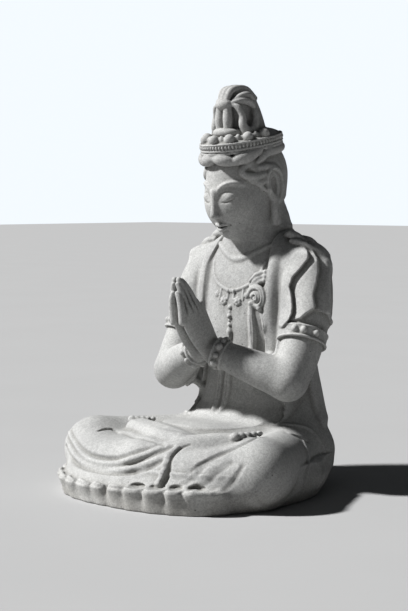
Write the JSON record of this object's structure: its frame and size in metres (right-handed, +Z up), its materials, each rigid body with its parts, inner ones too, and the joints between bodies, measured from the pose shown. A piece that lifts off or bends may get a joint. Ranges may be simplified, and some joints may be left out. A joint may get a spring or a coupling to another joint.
{
  "type": "seated garden statue with joined palms",
  "caption": "Cast-stone garden statue: a robed, crowned figure seated cross-legged with palms pressed together, standing on its flat underside.",
  "frame": {"origin": "centre of the bounding box on the ground, at the flat underside", "axes": "+Z up to the topknot, the figure faces -Y, its own left hand is on +X"},
  "size_m": [0.7136, 0.6834, 1.0044],
  "materials": {
    "cast_stone": "matt, fine-grained, lightly pitted and weathered"
  },
  "bodies": {
    "root": {"guanyin_figure": "cast_stone"}
  },
  "joints": []
}
